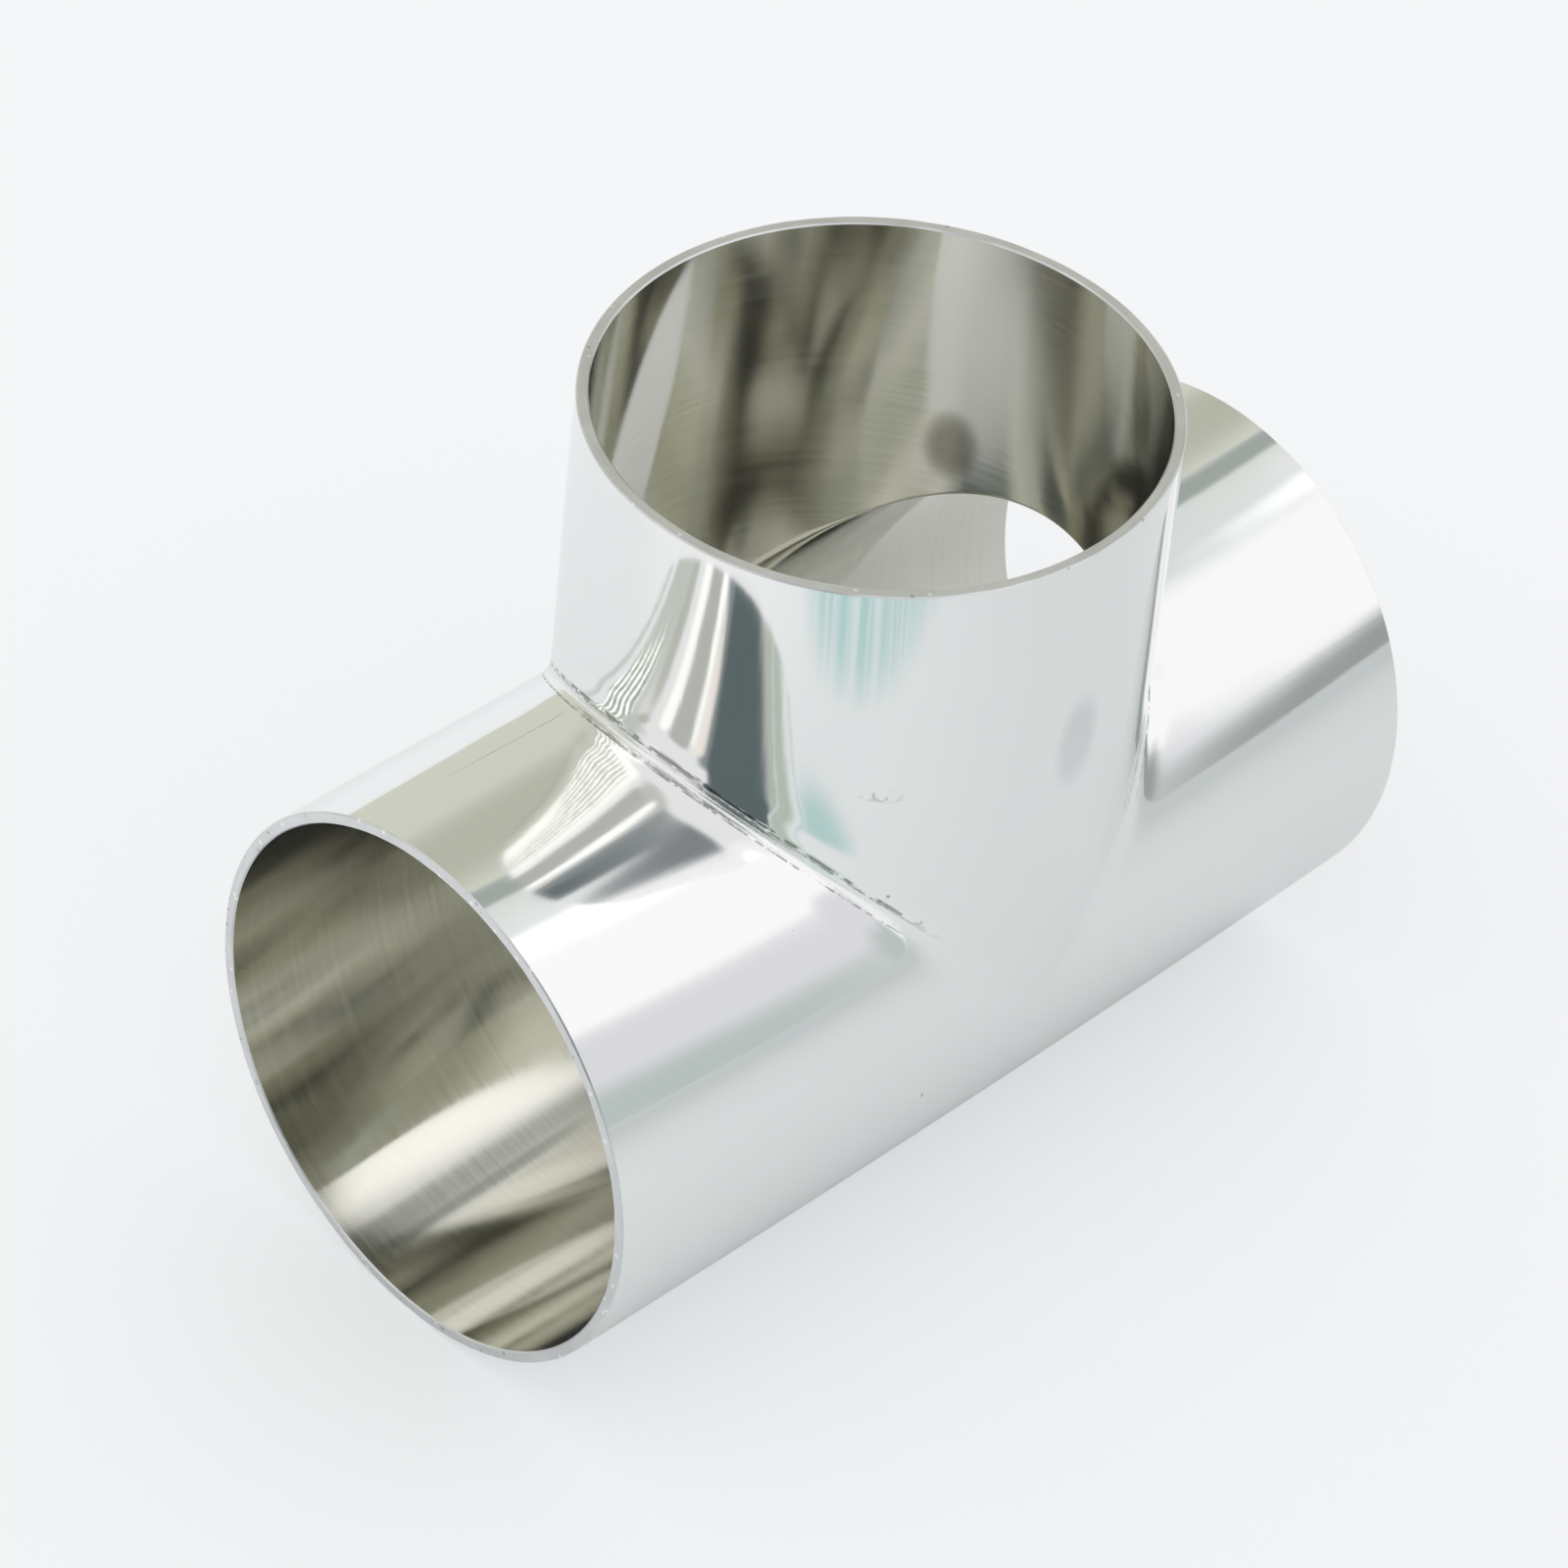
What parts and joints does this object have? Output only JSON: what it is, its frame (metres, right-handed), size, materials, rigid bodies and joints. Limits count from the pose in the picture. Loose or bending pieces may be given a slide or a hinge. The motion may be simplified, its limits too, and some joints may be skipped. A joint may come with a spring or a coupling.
{
  "type": "weld tee",
  "caption": "Equal tee of thin polished stainless tube with plain square ends, for butt welding into sanitary tubing; the branch meets the run along mitred welded creases.",
  "frame": {"origin": "where the centre lines of run and branch cross", "axes": "+X along the run, +Z along the branch towards its open end, Y across"},
  "size_m": [0.144, 0.076, 0.112],
  "materials": {
    "polished_stainless": "mirror polished outside, satin inside"
  },
  "bodies": {
    "root": {"tee_body": "polished_stainless"}
  },
  "joints": []
}
